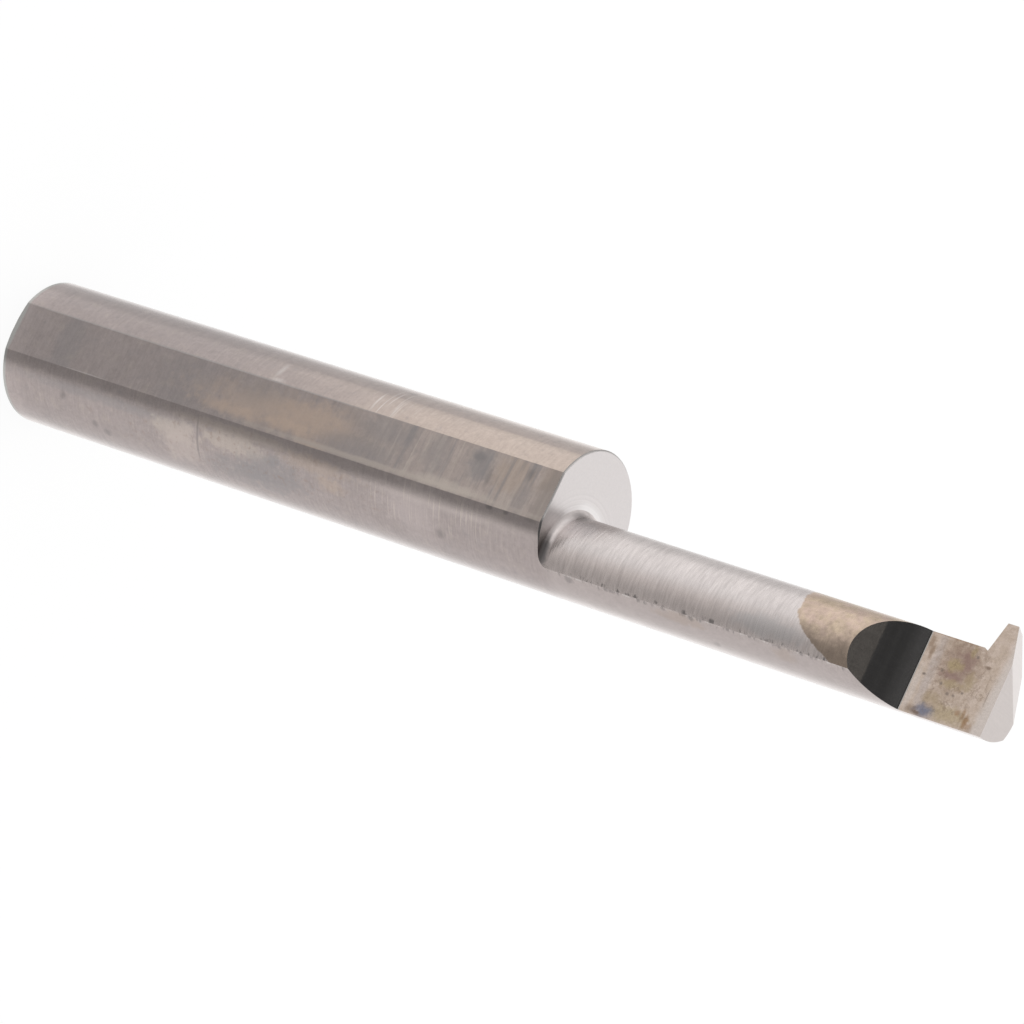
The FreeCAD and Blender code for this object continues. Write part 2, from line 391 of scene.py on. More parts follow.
@dataclass(frozen=True)
class StockFinish:
    """Round of the stock: fine grinding under a dull film, warmer towards the shoulder."""

    film: Colour = (0.395, 0.342, 0.33)
    bronze: Colour = (0.60, 0.50, 0.44)
    heel: Colour = (0.455, 0.40, 0.385)
    shoulder_mm: float = SHOULDER_MM
    burr_deg: float = -56.5
    roughness: float = 0.24
    stains: tuple[Stain, ...] = (
        Stain(-36.0, 7.5, 4.0, 5.5, SLATE, 0.4, 0.6, 0.6),
        Stain(-42.0, 12.6, 9.0, 1.6, (0.53, 0.465, 0.415), 0.6, 0.4, 0.8),
        Stain(-38.0, 16.8, 9.0, 2.2, (0.53, 0.46, 0.405), 0.6, 0.3, 0.8),
        Stain(-54.0, 13.2, 15.0, 1.3, (0.54, 0.465, 0.43), 0.6, 0.6, 0.8),
        Stain(-60.0, 17.0, 11.0, 2.2, SLATE, 0.4, 0.5, 0.8),
        Stain(-54.0, 19.4, 15.0, 2.2, SLATE, 0.55, 0.5, 0.8),
        Stain(-40.0, 19.6, 5.0, 0.5, SLATE, 0.5, 0.5, 0.9),
        Stain(-42.0, 29.0, 20.0, 1.6, (0.52, 0.455, 0.44), 0.5, 0.6, 0.6),
        Stain(-32.0, 31.0, 4.2, 5.5, (0.565, 0.495, 0.47), 0.68, 0.7, 0.4),
        Stain(-28.0, 17.0, 4.0, 4.0, (0.50, 0.43, 0.39), 0.6, 0.4, 0.5),
        Stain(-34.0, 22.5, 6.0, 2.2, TAN, 0.35, 0.5, 0.8),
        Stain(-46.0, 23.6, 5.0, 0.9, TAN, 0.4, 0.5, 0.8),
        Stain(-44.0, 14.3, 17.0, 0.07, SOOT_AND_SHADE, 0.4, 0.5, 0.35),
        Stain(-43.0, 4.6, 3.0, 0.22, SOOT_AND_SHADE, 0.42, 0.7, 0.8),
        Stain(-61.0, 6.7, 3.0, 0.2, SOOT_AND_SHADE, 0.38, 0.7, 0.8),
        Stain(-66.0, 7.5, 3.4, 0.22, SOOT_AND_SHADE, 0.4, 0.7, 0.8),
        Stain(-56.0, 30.9, 4.0, 0.28, SOOT_AND_SHADE, 0.42, 0.7, 0.8),
        Stain(-22.2, 34.0, 1.6, 0.2, SOOT_AND_SHADE, 0.55, 0.7, 0.6),
        Stain(-22.2, 35.1, 1.4, 0.16, SOOT_AND_SHADE, 0.5, 0.7, 0.6),
        Stain(-22.0, 36.7, 1.4, 0.3, SOOT_AND_SHADE, 0.3, 0.7, 0.6),
        Stain(33.0, 17.8, 7.0, 0.14, SILVER, 0.28, 0.8, 0.6),
        Stain(22.5, 18.1, 1.8, 0.35, SILVER, 0.25, 0.8, 0.6),
        Stain(57.0, 25.4, 2.0, 0.3, SOOT_AND_SHADE, 0.25, 0.7, 0.8),
        Stain(-62.0, 46.2, 5.0, 1.4, BROWN, 0.35, 0.5, 0.9),
        Stain(-64.0, 52.6, 6.0, 0.7, BROWN, 0.3, 0.5, 0.9),
        Stain(-60.0, 39.2, 3.0, 0.26, SOOT_AND_SHADE, 0.4, 0.6, 0.9),
        Stain(-58.0, 46.9, 2.2, 0.16, SOOT_AND_SHADE, 0.5, 0.6, 0.9),
        Stain(-79.0, 48.1, 3.0, 0.2, SOOT_AND_SHADE, 0.3, 0.6, 0.9),
    )
    scratched: tuple[Stain, ...] = (
        Stain(38.0, 25.4, 16.0, 1.4, (0.84, 0.79, 0.76), 0.45, 0.4, 0.2),
        Stain(-40.0, 30.0, 15.0, 4.4, STRAW, 0.42, 0.6, 0.3),
    )
    freckled: Stain = Stain(-47.0, 17.5, 21.0, 10.0, RUST, 0.38, 0.6, 0.4)
    chamfer_sheen: Colour = (0.50, 0.50, 0.48)
    chamfer_sheen_mm: float = 0.3

    def patina(self, graph: FinishGraph, upper: Value) -> Term:
        """Give the film's colour, which the shank's round and its flat share.

        Args:
            graph: The graph of the finish.
            upper: Share of the bronze tone at the shoulder.

        Returns:
            The colour.
        """
        drift = graph.noise((2.0, 2.0, 5.0), 4.0, 3.0)
        along = graph.ramp(graph.z + drift * 4.0, 13.0, 34.0)
        colour = graph.blend(along * upper, self.film, self.bronze)
        hue = graph.noise(0.7, 4.0, 25.0)
        colour = graph.blend(graph.ramp(hue, 0.0, 0.8) * 0.4, colour, BEIGE)
        colour = graph.blend(graph.ramp(hue, -0.1, -0.8) * 0.3, colour, SLATE)
        mottle = graph.noise((1.2, 1.2, 1.8), 5.0, 11.0) * 0.07 + graph.noise(0.3, 3.0, 5.0) * 0.1
        rings = graph.noise((1.8, 1.8, 0.14), 2.0, 2.0) * 0.09 + graph.noise(0.13, 2.0, 51.0) * 0.06
        colour = graph.scaled(colour, 1.0 + mottle + rings + graph.ramp(graph.z, 1.9, 0.4) * 0.12)
        # Painted highlight: a pale band at the rear end, standing in for the lit face of the rear
        # chamfer, which the mesh keeps shallower.
        rear = graph.ramp(graph.z + graph.wander * 0.04, self.chamfer_sheen_mm + 0.08, self.chamfer_sheen_mm - 0.1)
        return graph.blend(rear * 0.85, colour, self.chamfer_sheen)

    def build(self) -> bpy.types.Material:
        """Make the material."""
        graph = FinishGraph("ground_stock", 0.0)
        below_sky = 0.5 + 0.5 * graph.ramp(graph.across, 46.0, 42.0)
        upper = graph.ramp(graph.across, -15.0, 18.0) * below_sky
        colour = self.patina(graph, upper)
        behind = graph.ramp(graph.z, self.shoulder_mm, self.shoulder_mm + 1.0)
        heel = graph.noise(0.6, 5.0, 8.0) * 0.09 + graph.noise(0.16, 2.0, 51.0) * 0.07
        colour = graph.blend(behind, colour, graph.scaled(self.heel, 1.0 + heel))
        burr = abs(graph.across - self.burr_deg + graph.wander * 1.2)
        chips = graph.noise((1.0, 1.0, 0.3), 3.0, 14.0)
        raised = graph.ramp(burr, 1.6, 0.4) * graph.ramp(chips, 0.0, 0.4) * behind
        colour = graph.blend(raised * 0.35, colour, SILVER)
        chipped = graph.ramp(burr, 3.4, 0.8) * graph.ramp(chips, -0.02, -0.35) * behind
        colour = graph.blend(chipped * 0.5, colour, SOOT_AND_SHADE)
        specks = graph.noise(0.28, 3.0, 33.0)
        mottled = graph.cover(self.freckled) * self.freckled.share
        colour = graph.stained(colour, self.stains)
        colour = graph.blend(mottled * graph.ramp(specks, 0.1, 0.6), colour, self.freckled.colour)
        colour = graph.blend(mottled * graph.ramp(specks, -0.1, -0.8) * 0.6, colour, STRAW)
        scratches = graph.ramp(graph.noise((3.0, 3.0, 0.13), 1.0, 8.0), 0.1, 0.5)
        for zone in self.scratched:
            colour = graph.blend(graph.cover(zone) * scratches * zone.share, colour, zone.colour)
        rough = self.roughness + graph.noise(0.8, 4.0, 7.0) * 0.03
        relief = graph.noise((0.9, 0.9, 0.06), 2.0, 9.0) * 0.5 + graph.noise(0.12, 3.0, 1.0) * 0.5
        return graph.finish(colour, rough, relief, 0.0016)


@dataclass(frozen=True)
class FlatFinish:
    """Clamping flat: the stock's film with stains, cross streaks over them, and marks on top, among
    them painted highlights along its edges.
    """

    stock: StockFinish = field(default_factory=StockFinish)
    roughness: float = 0.24
    stains: tuple[Stain, ...] = (
        Stain(0.0, 4.0, 2.4, 0.8, SLATE, 0.35, 0.5, 0.8),
        Stain(0.1, 12.6, 1.6, 1.9, SLATE, 0.25, 0.5, 0.8),
        Stain(0.1, 19.3, 0.9, 4.8, AMBER, 0.45, 0.8, 0.8),
        Stain(-0.1, 21.2, 0.8, 2.0, AMBER, 0.4, 0.6, 0.8),
        Stain(-0.3, 18.3, 0.5, 0.9, AMBER, 0.3, 0.8, 0.8),
        Stain(0.75, 16.0, 0.35, 1.8, AMBER, 0.5, 0.7, 0.8),
        Stain(0.75, 20.5, 0.35, 1.6, AMBER, 0.4, 0.7, 0.8),
        Stain(1.25, 22.0, 0.2, 0.9, AMBER, 0.4, 0.7, 0.8),
        Stain(-0.6, 17.6, 0.6, 1.3, SLATE, 0.3, 0.8, 0.8),
        Stain(0.75, 25.0, 0.6, 2.6, SLATE, 0.4, 0.4, 0.8),
        Stain(-0.6, 26.2, 0.8, 1.9, SLATE, 0.4, 0.5, 0.8),
        Stain(-0.5, 34.6, 0.9, 1.2, TAN, 0.4, 0.5, 0.8),
    )
    marks: tuple[Stain, ...] = (
        Stain(-0.8, 36.7, 0.8, 0.5, BROWN, 0.45, 0.6, 0.7),
        Stain(-0.85, 32.2, 0.28, 0.3, SOOT_AND_SHADE, 0.5, 0.8, 0.7),
        Stain(-0.8, 35.5, 0.25, 0.24, SOOT_AND_SHADE, 0.3, 0.8, 0.7),
        Stain(0.1, 33.2, 0.5, 0.12, SOOT_AND_SHADE, 0.35, 0.8, 0.7),
        Stain(-0.6, 32.4, 1.1, 0.7, SLATE, 0.6, 0.6, 0.7),
        Stain(-0.4, 29.6, 1.2, 0.7, SLATE, 0.35, 0.6, 0.7),
        Stain(0.7, 35.6, 0.9, 0.5, SLATE, 0.3, 0.6, 0.7),
        Stain(0.4, 36.95, 1.8, 0.6, (0.34, 0.295, 0.27), 0.6, 0.6, 0.5),
        # Painted highlight: a pale line just inside the flat's lower edge.
        Stain(1.22, 27.0, 0.13, 9.0, (0.52, 0.455, 0.41), 0.8, 0.6, 0.6),
        Stain(1.1, 31.2, 0.28, 2.4, STRAW, 0.5, 0.6, 0.6),
        # The next two are painted highlights along the flat's two edges.
        Stain(1.39, 6.0, 0.04, 1.4, SILVER, 0.2, 0.4, 0.3),
        Stain(-1.39, 12.0, 0.05, 12.5, SILVER, 0.35, 0.4, 0.3),
    )
    streaked: Stain = Stain(0.0, 32.6, 2.6, 6.6, STRAW, 0.5, 0.35, 0.3)
    bronzed: float = 0.45
    deepened: float = 0.91

    def build(self) -> bpy.types.Material:
        """Make the material."""
        graph = FinishGraph("clamping_flat")
        colour = graph.stained(self.stock.patina(graph, self.bronzed), self.stains)
        leaning = graph.vector(graph.x, graph.y, graph.z + graph.x * 0.05)
        streaks = graph.noise((5.0, 5.0, 0.42), 3.0, 8.0, leaning)
        zone = graph.cover(self.streaked)
        pale = zone * graph.ramp(streaks, 0.0, 0.7)
        colour = graph.blend(pale * 0.5, colour, self.streaked.colour)
        colour = graph.blend(zone * graph.ramp(streaks, 0.05, -0.6) * 0.7, colour, SLATE)
        fine = zone * graph.ramp(graph.noise((5.0, 5.0, 0.17), 1.0, 18.0, leaning), 0.3, 0.7)
        colour = graph.blend(fine * 0.3, colour, self.streaked.colour)
        colour = graph.stained(colour, self.marks)
        fresh = graph.ramp(graph.z, 20.0, 30.0)
        colour = graph.scaled(colour, self.deepened + fresh * (1.0 - self.deepened))
        rough = self.roughness + graph.noise(0.8, 4.0, 7.0) * 0.03
        relief = graph.noise((0.9, 0.9, 0.05), 2.0, 9.0) * 0.5 + graph.noise(0.12, 3.0, 1.0) * 0.5
        return graph.finish(colour, rough, relief, 0.0014)


@dataclass(frozen=True)
class NeckFinish:
    """Neck and its root: bright grinding rings up to a brown stain before the gullet, and painted
    shade in the root beside the shoulder.
    """

    axis_mm: float = NECK_AXIS_MM
    heel_deg: float = -90.0
    bright: Colour = (0.72, 0.662, 0.645)
    under: Colour = (0.73, 0.645, 0.615)
    glint: Colour = (0.90, 0.85, 0.83)
    tan: Colour = (0.62, 0.495, 0.375)
    rosy: Colour = (0.63, 0.485, 0.41)
    brown: Colour = (0.40, 0.315, 0.255)
    stain_start_mm: float = 52.2
    root_end_mm: float = 37.75
    roughness: float = 0.27
    stains: tuple[Stain, ...] = (
        # Painted shade on the neck next to the shoulder.
        Stain(38.0, 38.6, 16.0, 0.9, (0.55, 0.545, 0.56), 0.4, 0.6, 0.6),
        Stain(13.0, 52.95, 2.5, 0.08, SOOT_AND_SHADE, 0.5, 0.5, 0.9),
        # The next two stains are painted shade in the root beside the shoulder.
        Stain(-12.0, 37.42, 19.0, 0.26, SOOT_AND_SHADE, 0.92, 0.5, 0.5),
        Stain(62.0, 37.9, 12.0, 0.4, (0.33, 0.31, 0.31), 0.5, 0.6, 0.5),
        Stain(-10.0, 51.5, 12.0, 2.2, (0.58, 0.57, 0.575), 0.5, 0.5, 0.6),
    )

    def build(self) -> bpy.types.Material:
        """Make the material."""
        graph = FinishGraph("ground_neck", self.axis_mm)
        rings = graph.noise((2.6, 2.6, 0.26), 3.0, 4.0) * 0.13
        rings = rings + graph.noise((0.9, 0.9, 0.11), 2.0, 6.0) * 0.17
        blots = graph.noise(1.4, 4.0, 19.0) * 0.05 + graph.noise((0.3, 0.3, 0.12), 2.0, 53.0) * 0.07
        under = graph.ramp(graph.across, 14.0, -8.0)
        bright = graph.scaled(graph.blend(under, self.bright, self.under), 1.0 + rings + blots)
        dashes = graph.noise((0.8, 0.8, 0.12), 1.0, 16.0)
        bright = graph.blend(graph.ramp(dashes, 0.4, 0.7) * 0.45, bright, self.glint)
        chips = graph.noise((0.7, 0.7, 0.3), 3.0, 14.0)
        from_heel = abs(graph.across - self.heel_deg) + chips * 3.0
        foot = graph.ramp(from_heel, 68.0, 65.0) * graph.ramp(chips, -0.02, -0.35)
        bright = graph.stained(graph.blend(foot * 0.7, bright, SOOT_AND_SHADE), self.stains)
        mottle = graph.noise(0.45, 5.0, 12.0)
        tone = graph.ramp(graph.across + mottle * 18.0, 22.0, -12.0)
        warm = graph.blend(graph.ramp(graph.noise(0.6, 4.0, 23.0), -0.4, 0.5), self.tan, self.rosy)
        smudges = mottle * 0.26 + graph.noise(0.16, 2.0, 55.0) * 0.12
        brown = graph.scaled(graph.blend(tone, warm, self.brown), 1.0 + smudges)
        side = graph.math("MAXIMUM", graph.x - 1.2, 0.0)
        limit = self.stain_start_mm + graph.x * 0.3 + side * side * 0.5
        edge = graph.z + graph.noise(0.35, 4.0, 15.0) * 0.2 - limit
        colour = graph.blend(graph.ramp(edge, -0.06, 0.12), bright, brown)
        in_root = graph.ramp(graph.z, self.root_end_mm + 0.1, self.root_end_mm - 0.1)
        rough = self.roughness + graph.noise(0.5, 3.0, 7.0) * 0.03 + in_root * 0.2
        relief = graph.noise((2.4, 2.4, 0.11), 3.0, 9.0)
        return graph.finish(colour, rough, relief, 0.004, edge=0.76)


@dataclass(frozen=True)
class ShoulderFinish:
    """Shoulder face: bright, with faint rings about the neck, a painted highlight in a sector
    beside the neck and a painted dark reflection of the neck over its lower side.
    """

    bright: Colour = (0.70, 0.66, 0.652)
    glint: Colour = (0.93, 0.91, 0.90)
    painted_shade: Colour = (0.31, 0.29, 0.28)
    axis_mm: float = NECK_AXIS_MM
    ring_mm: float = 0.17
    roughness: float = 0.3

    def build(self) -> bpy.types.Material:
        """Make the material."""
        graph = FinishGraph("shoulder_face")
        across = graph.x - self.axis_mm
        radius = graph.math("SQRT", across * across + graph.y * graph.y)
        turn = graph.math("ARCTAN2", -across, -graph.y) * math.degrees(1.0)
        rings = graph.noise(1.0, 2.0, 3.0, graph.vector(radius / self.ring_mm, 0.0, 0.0))
        near = graph.ramp(radius, 4.2, 3.3)
        grain = graph.noise(0.12, 3.0, 2.0) * 0.05
        colour = graph.scaled(self.bright, 1.0 + rings * (0.02 + near * 0.16) + grain)
        # Painted highlight: a bright sector beside the neck is lightened towards the glint colour.
        side = graph.ramp(turn, 55.0, 80.0) * graph.ramp(turn, 130.0, 105.0)
        side = side * graph.ramp(radius, 3.4, 2.95)
        colour = graph.blend(side * 0.5, colour, self.glint)
        # Painted shade: the lower side is darkened, first to dark grey and then near black,
        # standing in for the neck's dark reflection.
        edge = turn + graph.wander * 3.0
        lower = graph.ramp(turn, -90.0, -60.0)
        colour = graph.blend(graph.ramp(edge, 34.0, 2.0) * lower * 0.95, colour, self.painted_shade)
        colour = graph.blend(graph.ramp(edge, 12.0, -12.0) * lower * 0.8, colour, SOOT_AND_SHADE)
        return graph.finish(colour, self.roughness, rings * 0.5 + grain, 0.002)


@dataclass(frozen=True)
class GulletFinish:
    """Gullet: honed until it mirrors, with a duller first pass across its upper end and painted
    shade along its foot.
    """

    honed: Colour = (0.62, 0.595, 0.585)
    first: Colour = (0.66, 0.60, 0.55)
    shade: Colour = (0.30, 0.275, 0.24)
    first_pass_mm: float = 57.1
    foot_mm: float = 58.67
    roughness: float = 0.07
    first_roughness: float = 0.235

    def build(self) -> bpy.types.Material:
        """Make the material."""
        graph = FinishGraph("honed_gullet")
        edge = graph.z + graph.noise(0.4, 2.0, 3.0) * 0.03
        first = graph.ramp(edge, self.first_pass_mm + 0.05, self.first_pass_mm - 0.05)
        rough = self.roughness + first * (self.first_roughness - self.roughness)
        lines = graph.noise((0.06, 3.0, 3.0), 2.0, 6.0) * 0.05
        grain = graph.noise(0.25, 4.0, 8.0) * 0.06 + lines
        bands = graph.noise((9.0, 0.4, 0.4), 3.0, 27.0) * 0.16
        lower = graph.ramp(graph.z, self.foot_mm - 0.8, self.foot_mm - 0.1) * 0.6
        colour = graph.blend(first, self.honed, self.first)
        colour = graph.scaled(colour, 1.0 + grain + bands + lower)
        # Painted shade along the foot of the gullet.
        foot = graph.ramp(graph.z, self.foot_mm - 0.05, self.foot_mm)
        colour = graph.blend(foot * 0.6, colour, self.shade)
        return graph.finish(colour, rough + grain * 0.3)


@dataclass(frozen=True)
class RakeFinish:
    """Rake face: heat stains in rings, fine dried veins, pits, and a paler rim in front."""

    pink: Colour = (0.79, 0.65, 0.56)
    beige: Colour = (0.67, 0.54, 0.44)
    brown: Colour = (0.42, 0.305, 0.225)
    lilac: Colour = (0.64, 0.565, 0.54)
    purple: Colour = (0.35, 0.225, 0.20)
    olive: Colour = (0.53, 0.42, 0.24)
    rust: Colour = (0.42, 0.255, 0.145)
    blue: Colour = (0.20, 0.225, 0.32)
    pale: Colour = (0.82, 0.735, 0.685)
    vein: Colour = (0.27, 0.19, 0.14)
    pit: Colour = (0.17, 0.14, 0.13)
    front_mm: float = 63.5
    roughness: float = 0.27

    def stains(self) -> tuple[Stain, ...]:
        """Give the stains, from the lowest to the topmost."""
        return (
            Stain(1.6, 59.5, 2.4, 0.25, self.lilac, 0.6, 0.6, 0.6),
            Stain(2.7, 58.92, 1.1, 0.2, self.pale, 0.5, 0.6, 0.6),
            Stain(0.2, 58.9, 0.4, 0.16, self.brown, 0.8, 0.6, 0.8),
            Stain(0.65, 59.08, 0.35, 0.13, self.brown, 0.9, 0.6, 0.8),
            Stain(1.0, 60.9, 1.5, 1.3, self.brown, 0.5, 0.5, 0.8),
            Stain(0.1, 60.5, 0.45, 0.9, self.brown, 0.4, 0.6, 0.8),
            Stain(0.95, 60.9, 0.95, 0.9, self.purple, 0.35, 0.55, 0.8),
            Stain(0.75, 61.25, 0.5, 0.3, self.purple, 0.6, 0.6, 0.8),
            Stain(1.55, 60.6, 0.22, 0.65, self.purple, 0.6, 0.6, 0.8),
            Stain(0.35, 61.0, 0.12, 0.35, self.purple, 0.4, 0.6, 0.8),
            Stain(0.98, 60.6, 0.32, 0.42, self.olive, 0.75, 0.5, 0.8),
            Stain(0.1, 61.3, 0.3, 0.14, self.olive, 0.6, 0.6, 0.8),
            Stain(1.6, 61.7, 0.5, 0.3, self.olive, 0.45, 0.6, 0.8),
            Stain(1.95, 60.8, 0.22, 0.5, self.olive, 0.55, 0.6, 0.8),
            Stain(2.9, 60.15, 0.3, 0.5, self.olive, 0.5, 0.6, 0.8),
            Stain(3.45, 61.3, 0.4, 1.1, self.olive, 0.6, 0.6, 0.8),
            Stain(3.2, 62.15, 0.3, 0.1, self.rust, 0.65, 0.6, 0.9),
            Stain(3.45, 62.4, 0.3, 0.13, self.rust, 0.8, 0.6, 0.9),
            Stain(3.7, 62.65, 0.2, 0.25, self.rust, 0.6, 0.6, 0.9),
            Stain(3.2, 61.8, 0.16, 0.16, self.rust, 0.65, 0.6, 0.9),
            Stain(2.9, 60.2, 0.6, 0.55, self.brown, 0.3, 0.6, 0.8),
            Stain(3.62, 60.0, 0.32, 0.48, self.blue, 0.85, 0.7, 0.7),
            Stain(3.65, 59.3, 0.18, 0.3, self.vein, 0.5, 0.6, 0.8),
            Stain(3.82, 59.65, 0.1, 0.22, self.vein, 0.8, 0.6, 0.8),
            Stain(-0.31, 60.2, 0.05, 1.5, self.rust, 0.5, 0.6, 0.3),
            Stain(2.1, 62.95, 0.5, 0.035, self.vein, 0.6, 0.6, 0.5),
            Stain(1.85, 59.2, 0.07, 0.1, self.pit, 0.7, 0.6, 0.5),
            Stain(1.4, 60.05, 0.09, 0.08, self.pit, 0.6, 0.6, 0.5),
            Stain(2.05, 60.3, 0.08, 0.08, self.pit, 0.6, 0.6, 0.5),
            Stain(2.45, 60.85, 0.08, 0.09, self.pit, 0.55, 0.6, 0.5),
            Stain(2.45, 61.2, 0.07, 0.08, self.pit, 0.55, 0.6, 0.5),
            Stain(2.2, 61.6, 0.07, 0.08, self.pit, 0.6, 0.6, 0.5),
            Stain(0.25, 61.6, 0.09, 0.08, self.pit, 0.6, 0.6, 0.5),
            Stain(0.6, 62.35, 0.09, 0.16, self.vein, 0.8, 0.6, 0.5),
        )

    def build(self) -> bpy.types.Material:
        """Make the material."""
        graph = FinishGraph("stained_rake", wander_mm=0.3)
        mottle = graph.noise(0.5, 5.0, 2.0)
        colour = graph.blend(graph.ramp(mottle, -0.5, 0.6), self.pink, self.beige)
        colour = graph.stained(colour, self.stains())
        body = graph.cover(Stain(1.9, 61.3, 2.6, 1.7, self.vein, 1.0, 0.3, 0.3))
        threads = abs(graph.noise(0.55, 5.0, 41.0))
        thick = graph.ramp(graph.noise(0.9, 2.0, 47.0), -0.3, 0.4)
        veins = graph.ramp(threads, 0.12, 0.02) * (0.25 + 0.75 * thick)
        colour = graph.blend(veins * (0.3 + body * 0.7) * 0.42, colour, self.vein)
        pits = graph.ramp(graph.noise(0.16, 2.0, 21.0), 0.7, 0.95)
        colour = graph.blend(pits * 0.5, colour, self.pit)
        rim = graph.math("MAXIMUM", graph.x, 0.0) * 0.1 + 0.12 + graph.wander * 0.12
        faded = graph.ramp(graph.z + rim, self.front_mm - 0.45, self.front_mm + 0.1)
        colour = graph.blend(faded * 0.85, colour, self.pale)
        colour = graph.scaled(colour, 1.0 + graph.noise(0.13, 3.0, 1.0) * 0.16)
        rough = self.roughness + mottle * 0.03
        return graph.finish(colour, rough, graph.noise(0.1, 3.0, 1.0) - pits, 0.0015)


@dataclass(frozen=True)
class ReliefFinish:
    """Front face, flanks, clearance lands and rear face: fine cross grinding."""

    name: str
    bright: Colour
    roughness: float = 0.28
    edge: float = 1.0

    def build(self) -> bpy.types.Material:
        """Make the material."""
        graph = FinishGraph(self.name)
        lines = graph.noise((0.07, 1.6, 0.5), 2.0, 3.0) * 0.05
        grain = graph.noise(0.15, 3.0, 2.0) * 0.04
        colour = graph.scaled(self.bright, 1.0 + lines + grain)
        return graph.finish(colour, self.roughness, lines + grain, 0.01, self.edge)


@dataclass(frozen=True)
class RimFinish:
    """Broken rim of the shoulder: satin, with a painted highlight along its inner edge and painted
    shade on its lower side.
    """

    bright: Colour = (0.50, 0.475, 0.46)
    inner: Colour = (0.80, 0.77, 0.76)
    dark: Colour = (0.125, 0.12, 0.12)
    inner_mm: float = 37.315
    roughness: float = 0.6

    def build(self) -> bpy.types.Material:
        """Make the material."""
        graph = FinishGraph("broken_rim")
        # Painted shade on the lower side, standing in for the dark reflection there.
        lower = graph.ramp(graph.x + graph.wander * 0.1, 1.0, 1.5) * graph.ramp(graph.y, 1.5, 0.5)
        # Painted highlight: the inner edge is lightened towards the shoulder's brightness.
        inner = graph.ramp(graph.z, self.inner_mm - 0.02, self.inner_mm + 0.02)
        colour = graph.blend(inner * 0.7, self.bright, self.inner)
        colour = graph.blend(lower, colour, self.dark)
        return graph.finish(graph.scaled(colour, 1.0 + graph.wander * 0.06), self.roughness)


FINISHES = {
    Surface.STOCK: StockFinish(),
    Surface.FLAT: FlatFinish(),
    Surface.REAR: ReliefFinish("rear_face", (0.58, 0.58, 0.57), edge=0.7),
    Surface.NECK: NeckFinish(),
    Surface.SHOULDER: ShoulderFinish(),
    Surface.RIM: RimFinish(),
    Surface.GULLET: GulletFinish(),
    Surface.RAKE: RakeFinish(),
    Surface.FRONT: ReliefFinish("front_face", (0.60, 0.55, 0.53)),
    Surface.CLEARANCE: ReliefFinish("clearance_lands", (0.70, 0.69, 0.69)),
}


